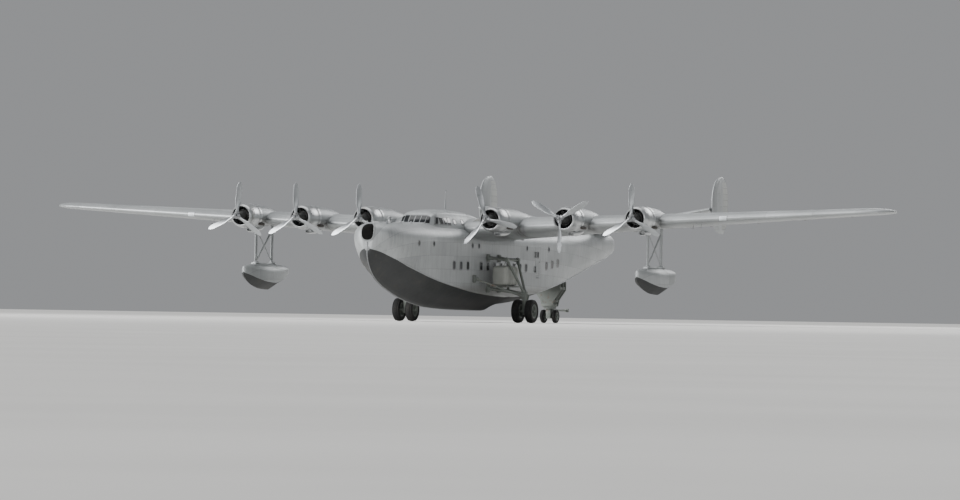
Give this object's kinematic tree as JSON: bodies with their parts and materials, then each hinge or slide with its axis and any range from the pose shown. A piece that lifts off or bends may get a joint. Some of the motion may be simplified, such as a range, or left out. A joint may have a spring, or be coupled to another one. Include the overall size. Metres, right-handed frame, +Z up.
{
  "type": "six-engined flying boat on beaching gear, as a half-size model",
  "caption": "High-winged flying boat on beaching gear: stepped hull, radial engines on the wing, floats and twin fins.",
  "frame": {"origin": "on the ground at the middle of the length and span, under the hull", "axes": "+X to the port side, +Y aft along the hull, +Z up; the nose points to -Y"},
  "size_m": [28.7, 21.73, 5.05],
  "materials": {
    "silver_paint": "weathered aluminium paint, semi-matt",
    "dark_bottom_paint": "dull dark bottom paint, scuffed",
    "cowling_metal": "bare metal, lightly burnished",
    "engine_metal": "oily grey castings",
    "blade_metal": "bare metal blades",
    "gear_paint": "worn grey-green paint with rust at the edges",
    "tyre_rubber": "dusty black rubber"
  },
  "bodies": {
    "airframe": {"hull_body": "silver_paint", "planing_bottom_fore": "dark_bottom_paint", "planing_bottom_aft": "dark_bottom_paint", "flight_deck": "silver_paint", "mooring_bollard": "gear_paint", "aerial_mast": "gear_paint", "wing_centre": "silver_paint", "wing_outer_port": "silver_paint", "wing_outer_starboard": "silver_paint", "tailplane": "silver_paint", "fin_port": "silver_paint", "fin_starboard": "silver_paint", "nacelle_1": "cowling_metal", "nacelle_2": "cowling_metal", "nacelle_3": "cowling_metal", "nacelle_4": "cowling_metal", "nacelle_5": "cowling_metal", "nacelle_6": "cowling_metal", "engine_1": "engine_metal", "engine_2": "engine_metal", "engine_3": "engine_metal", "engine_4": "engine_metal", "engine_5": "engine_metal", "engine_6": "engine_metal", "float_port": "silver_paint", "float_starboard": "silver_paint", "float_legs_port": "silver_paint", "float_legs_starboard": "silver_paint", "beaching_leg_port": "gear_paint", "beaching_leg_starboard": "gear_paint", "beaching_tank_port": "gear_paint", "beaching_tank_starboard": "gear_paint", "tail_cradle": "gear_paint"},
    "propeller_1": {"propeller_1": "blade_metal"},
    "propeller_2": {"propeller_2": "blade_metal"},
    "propeller_3": {"propeller_3": "blade_metal"},
    "propeller_4": {"propeller_4": "blade_metal"},
    "propeller_5": {"propeller_5": "blade_metal"},
    "propeller_6": {"propeller_6": "blade_metal"},
    "flap_port": {"flap_port": "silver_paint"},
    "flap_starboard": {"flap_starboard": "silver_paint"},
    "aileron_port": {"aileron_port": "silver_paint"},
    "aileron_starboard": {"aileron_starboard": "silver_paint"},
    "elevator_port": {"elevator_port": "silver_paint"},
    "elevator_starboard": {"elevator_starboard": "silver_paint"},
    "rudder_port": {"rudder_port": "silver_paint"},
    "rudder_starboard": {"rudder_starboard": "silver_paint"},
    "passenger_door": {"passenger_door": "silver_paint"},
    "main_wheels_port": {"main_axle_port": "gear_paint", "main_tyre_port_outer": "tyre_rubber", "main_tyre_port_inner": "tyre_rubber"},
    "main_wheels_starboard": {"main_axle_starboard": "gear_paint", "main_tyre_starboard_outer": "tyre_rubber", "main_tyre_starboard_inner": "tyre_rubber"},
    "tail_truck": {"tail_truck": "gear_paint"},
    "tail_wheels": {"tail_axle": "gear_paint", "tail_tyre_port": "tyre_rubber", "tail_tyre_starboard": "tyre_rubber"}
  },
  "joints": [
    {"name": "propeller_1_spin", "type": "hinge", "parent": "airframe", "child": "propeller_1", "pos_m": [6.7, -5.765, 3.3], "axis": [0, 1, 0], "continuous": true},
    {"name": "propeller_2_spin", "type": "hinge", "parent": "airframe", "child": "propeller_2", "pos_m": [4.475, -6.14, 3.26], "axis": [0, 1, 0], "continuous": true},
    {"name": "propeller_3_spin", "type": "hinge", "parent": "airframe", "child": "propeller_3", "pos_m": [2.15, -6.49, 3.225], "axis": [0, 1, 0], "continuous": true},
    {"name": "propeller_4_spin", "type": "hinge", "parent": "airframe", "child": "propeller_4", "pos_m": [-2.15, -6.49, 3.225], "axis": [0, 1, 0], "continuous": true},
    {"name": "propeller_5_spin", "type": "hinge", "parent": "airframe", "child": "propeller_5", "pos_m": [-4.475, -6.14, 3.26], "axis": [0, 1, 0], "continuous": true},
    {"name": "propeller_6_spin", "type": "hinge", "parent": "airframe", "child": "propeller_6", "pos_m": [-6.7, -5.765, 3.3], "axis": [0, 1, 0], "continuous": true},
    {"name": "flap_port_hinge", "type": "hinge", "parent": "airframe", "child": "flap_port", "pos_m": [1.175, -1.6451, 2.84771], "axis": [0.9968, -0.0519, 0.0615], "range_deg": [-35, 0]},
    {"name": "flap_starboard_hinge", "type": "hinge", "parent": "airframe", "child": "flap_starboard", "pos_m": [-1.175, -1.6451, 2.84771], "axis": [0.9968, 0.0519, -0.0615], "range_deg": [-35, 0]},
    {"name": "aileron_port_hinge", "type": "hinge", "parent": "airframe", "child": "aileron_port", "pos_m": [7.475, -1.97344, 3.23569], "axis": [0.997, -0.0521, 0.0576], "range_deg": [-20, 20]},
    {"name": "aileron_starboard_hinge", "type": "hinge", "parent": "airframe", "child": "aileron_starboard", "pos_m": [-7.475, -1.97344, 3.23569], "axis": [0.997, 0.0521, -0.0576], "range_deg": [-20, 20]},
    {"name": "elevator_port_hinge", "type": "hinge", "parent": "airframe", "child": "elevator_port", "pos_m": [0.475, 9.50491, 3.20233], "axis": [0.9791, 0.072, 0.1903], "range_deg": [-20, 25]},
    {"name": "elevator_starboard_hinge", "type": "hinge", "parent": "airframe", "child": "elevator_starboard", "pos_m": [-0.475, 9.50491, 3.20233], "axis": [0.9791, -0.072, -0.1903], "range_deg": [-20, 25]},
    {"name": "rudder_port_hinge", "type": "hinge", "parent": "airframe", "child": "rudder_port", "pos_m": [4.2325, 9.965, 3.26], "axis": [0, 0, 1], "range_deg": [-25, 25]},
    {"name": "rudder_starboard_hinge", "type": "hinge", "parent": "airframe", "child": "rudder_starboard", "pos_m": [-4.2325, 9.965, 3.26], "axis": [0, 0, 1], "range_deg": [-25, 25]},
    {"name": "passenger_door_hinge", "type": "hinge", "parent": "airframe", "child": "passenger_door", "pos_m": [0.92631, 1.085, 1.575], "axis": [0, 0, -1], "range_deg": [0, 95]},
    {"name": "main_wheels_port_spin", "type": "hinge", "parent": "airframe", "child": "main_wheels_port", "pos_m": [2.05, -2.765, 0.375], "axis": [1, 0, 0], "continuous": true},
    {"name": "main_wheels_starboard_spin", "type": "hinge", "parent": "airframe", "child": "main_wheels_starboard", "pos_m": [-2.05, -2.765, 0.375], "axis": [1, 0, 0], "continuous": true},
    {"name": "tail_truck_swivel", "type": "hinge", "parent": "airframe", "child": "tail_truck", "pos_m": [0, 4.835, 0.51], "axis": [0, 0, 1], "range_deg": [-60, 60]},
    {"name": "tail_wheels_spin", "type": "hinge", "parent": "tail_truck", "child": "tail_wheels", "pos_m": [0, 4.835, 0.225], "axis": [1, 0, 0], "continuous": true}
  ],
  "couplings": [
    {"joint": "flap_starboard_hinge", "follows": "flap_port_hinge", "ratio": 1},
    {"joint": "aileron_starboard_hinge", "follows": "aileron_port_hinge", "ratio": -1},
    {"joint": "elevator_starboard_hinge", "follows": "elevator_port_hinge", "ratio": 1},
    {"joint": "rudder_starboard_hinge", "follows": "rudder_port_hinge", "ratio": 1}
  ]
}
